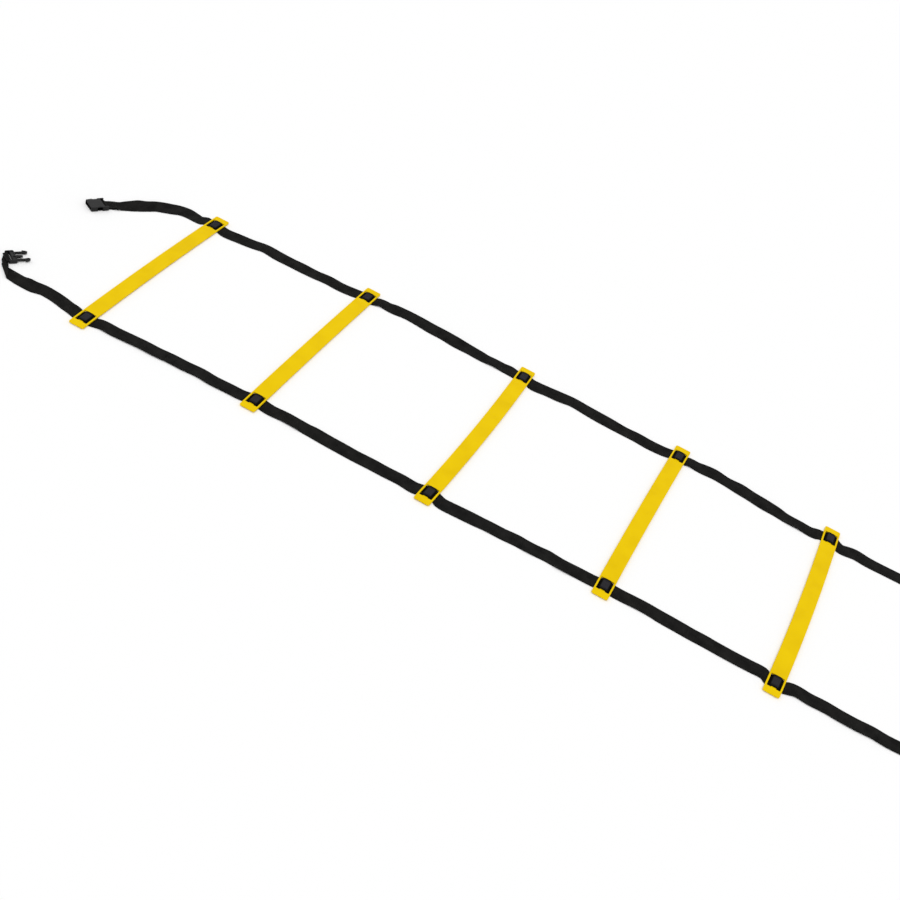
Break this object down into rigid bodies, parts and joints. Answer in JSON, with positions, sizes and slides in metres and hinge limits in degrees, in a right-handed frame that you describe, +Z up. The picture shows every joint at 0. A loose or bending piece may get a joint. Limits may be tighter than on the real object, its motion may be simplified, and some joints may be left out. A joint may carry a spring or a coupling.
{
  "type": "agility ladder",
  "caption": "Flat agility ladder: slotted plastic rungs threaded on two webbing straps that fold bay by bay, with side-release buckles on the strap ends.",
  "frame": {"origin": "centre of the laid-out ladder's box, on the floor", "axes": "+X along the ladder, +Y from the near strap to the far strap, +Z up"},
  "size_m": [2.8596, 0.544, 0.0094],
  "materials": {
    "rung_yellow": "satin moulded polypropylene",
    "webbing_black": "woven polypropylene webbing",
    "buckle_black": "satin moulded acetal"
  },
  "bodies": {
    "panel_1": {"strap_near_1": "webbing_black", "strap_far_1": "webbing_black", "left_tail_to_male_buckle": "webbing_black", "left_tail_to_female_buckle": "webbing_black"},
    "panel_2": {"strap_near_2": "webbing_black", "strap_far_2": "webbing_black"},
    "panel_3": {"strap_near_3": "webbing_black", "strap_far_3": "webbing_black"},
    "panel_4": {"strap_near_4": "webbing_black", "strap_far_4": "webbing_black"},
    "panel_5": {"strap_near_5": "webbing_black", "strap_far_5": "webbing_black"},
    "panel_6": {"strap_near_6": "webbing_black", "strap_far_6": "webbing_black"},
    "panel_7": {"strap_near_7": "webbing_black", "strap_far_7": "webbing_black"},
    "panel_8": {"strap_near_8": "webbing_black", "strap_far_8": "webbing_black", "right_tail_to_male_buckle": "webbing_black", "right_tail_to_female_buckle": "webbing_black"},
    "rung_1": {"rung_1": "rung_yellow"},
    "rung_2": {"rung_2": "rung_yellow"},
    "rung_3": {"rung_3": "rung_yellow"},
    "rung_4": {"rung_4": "rung_yellow"},
    "rung_5": {"rung_5": "rung_yellow"},
    "rung_6": {"rung_6": "rung_yellow"},
    "rung_7": {"rung_7": "rung_yellow"},
    "rung_8": {"rung_8": "rung_yellow"},
    "left_male_buckle": {"left_male_buckle": "buckle_black"},
    "left_male_buckle_arm_a": {"left_male_buckle_arm_a": "buckle_black"},
    "left_male_buckle_arm_b": {"left_male_buckle_arm_b": "buckle_black"},
    "left_female_buckle": {"left_female_buckle": "buckle_black"},
    "right_male_buckle": {"right_male_buckle": "buckle_black"},
    "right_male_buckle_arm_a": {"right_male_buckle_arm_a": "buckle_black"},
    "right_male_buckle_arm_b": {"right_male_buckle_arm_b": "buckle_black"},
    "right_female_buckle": {"right_female_buckle": "buckle_black"}
  },
  "joints": [
    {"name": "fold_1", "type": "hinge", "parent": "panel_2", "child": "panel_1", "pos_m": [-1.0306, 0, -0.0006], "axis": [0, -1, 0], "range_deg": [0, 175]},
    {"name": "fold_2", "type": "hinge", "parent": "panel_3", "child": "panel_2", "pos_m": [-0.67706, 0, 0.0068], "axis": [0, 1, 0], "range_deg": [0, 175]},
    {"name": "fold_3", "type": "hinge", "parent": "panel_4", "child": "panel_3", "pos_m": [-0.32594, 0, -0.0006], "axis": [0, -1, 0], "range_deg": [0, 175]},
    {"name": "fold_4", "type": "hinge", "parent": "panel_4", "child": "panel_5", "pos_m": [0.00897, 0, 0.0068], "axis": [0, -1, 0], "range_deg": [0, 175]},
    {"name": "fold_5", "type": "hinge", "parent": "panel_5", "child": "panel_6", "pos_m": [0.34345, 0, -0.0006], "axis": [0, 1, 0], "range_deg": [0, 175]},
    {"name": "fold_6", "type": "hinge", "parent": "panel_6", "child": "panel_7", "pos_m": [0.68845, 0, 0.0068], "axis": [0, -1, 0], "range_deg": [0, 175]},
    {"name": "fold_7", "type": "hinge", "parent": "panel_7", "child": "panel_8", "pos_m": [1.03345, 0, -0.0006], "axis": [0, 1, 0], "range_deg": [0, 175]},
    {"name": "rung_1_slide", "type": "slide", "parent": "panel_1", "child": "rung_1", "axis": [1, 0, 0], "range_m": [-0.03, 0.09], "deforming": ["strap_near_1", "strap_far_1", "left_tail_to_male_buckle", "left_tail_to_female_buckle"]},
    {"name": "rung_2_slide", "type": "slide", "parent": "panel_2", "child": "rung_2", "axis": [1, -0.0087, 0], "range_m": [-0.09, 0.09], "deforming": ["strap_near_2", "strap_far_2"]},
    {"name": "rung_3_slide", "type": "slide", "parent": "panel_3", "child": "rung_3", "axis": [0.9999, -0.0166, 0], "range_m": [-0.09, 0.09], "deforming": ["strap_near_3", "strap_far_3"]},
    {"name": "rung_4_slide", "type": "slide", "parent": "panel_4", "child": "rung_4", "axis": [0.9998, -0.0175, 0], "range_m": [-0.09, 0.09], "deforming": ["strap_near_4", "strap_far_4"]},
    {"name": "rung_5_slide", "type": "slide", "parent": "panel_5", "child": "rung_5", "axis": [0.9998, -0.0209, 0], "range_m": [-0.09, 0.09], "deforming": ["strap_near_5", "strap_far_5"]},
    {"name": "rung_6_slide", "type": "slide", "parent": "panel_6", "child": "rung_6", "axis": [1, 0.0087, 0], "range_m": [-0.09, 0.09], "deforming": ["strap_near_6", "strap_far_6"]},
    {"name": "rung_7_slide", "type": "slide", "parent": "panel_7", "child": "rung_7", "axis": [1, -0.007, 0], "range_m": [-0.09, 0.09], "deforming": ["strap_near_7", "strap_far_7"]},
    {"name": "rung_8_slide", "type": "slide", "parent": "panel_8", "child": "rung_8", "axis": [1, 0, 0], "range_m": [-0.09, 0.03], "deforming": ["strap_near_8", "strap_far_8", "right_tail_to_male_buckle", "right_tail_to_female_buckle"]},
    {"name": "left_male_buckle_swing", "type": "hinge", "parent": "panel_1", "child": "left_male_buckle", "pos_m": [-1.41291, -0.19417, 0.00335], "axis": [0.7986, -0.6018, 0], "range_deg": [-100, 120]},
    {"name": "left_male_buckle_arm_a_flex", "type": "hinge", "parent": "left_male_buckle", "child": "left_male_buckle_arm_a", "pos_m": [-1.41242, -0.17475, 0.00335], "axis": [0, 0, -1], "range_deg": [0, 7], "stiffness_Nm_per_rad": 1.5},
    {"name": "left_male_buckle_arm_b_flex", "type": "hinge", "parent": "left_male_buckle", "child": "left_male_buckle_arm_b", "pos_m": [-1.39437, -0.18835, 0.00335], "axis": [0, 0, 1], "range_deg": [0, 7], "stiffness_Nm_per_rad": 1.5},
    {"name": "left_female_buckle_swing", "type": "hinge", "parent": "panel_1", "child": "left_female_buckle", "pos_m": [-1.39865, 0.09345, 0.00335], "axis": [-0.848, 0.5299, 0], "range_deg": [-100, 120]},
    {"name": "right_male_buckle_swing", "type": "hinge", "parent": "panel_8", "child": "right_male_buckle", "pos_m": [1.41291, 0.19417, 0.00335], "axis": [-0.7986, 0.6018, 0], "range_deg": [-100, 120]},
    {"name": "right_male_buckle_arm_a_flex", "type": "hinge", "parent": "right_male_buckle", "child": "right_male_buckle_arm_a", "pos_m": [1.41242, 0.17475, 0.00335], "axis": [0, 0, -1], "range_deg": [0, 7], "stiffness_Nm_per_rad": 1.5},
    {"name": "right_male_buckle_arm_b_flex", "type": "hinge", "parent": "right_male_buckle", "child": "right_male_buckle_arm_b", "pos_m": [1.39437, 0.18835, 0.00335], "axis": [0, 0, 1], "range_deg": [0, 7], "stiffness_Nm_per_rad": 1.5},
    {"name": "right_female_buckle_swing", "type": "hinge", "parent": "panel_8", "child": "right_female_buckle", "pos_m": [1.39865, -0.09345, 0.00335], "axis": [0.848, -0.5299, 0], "range_deg": [-100, 120]}
  ]
}
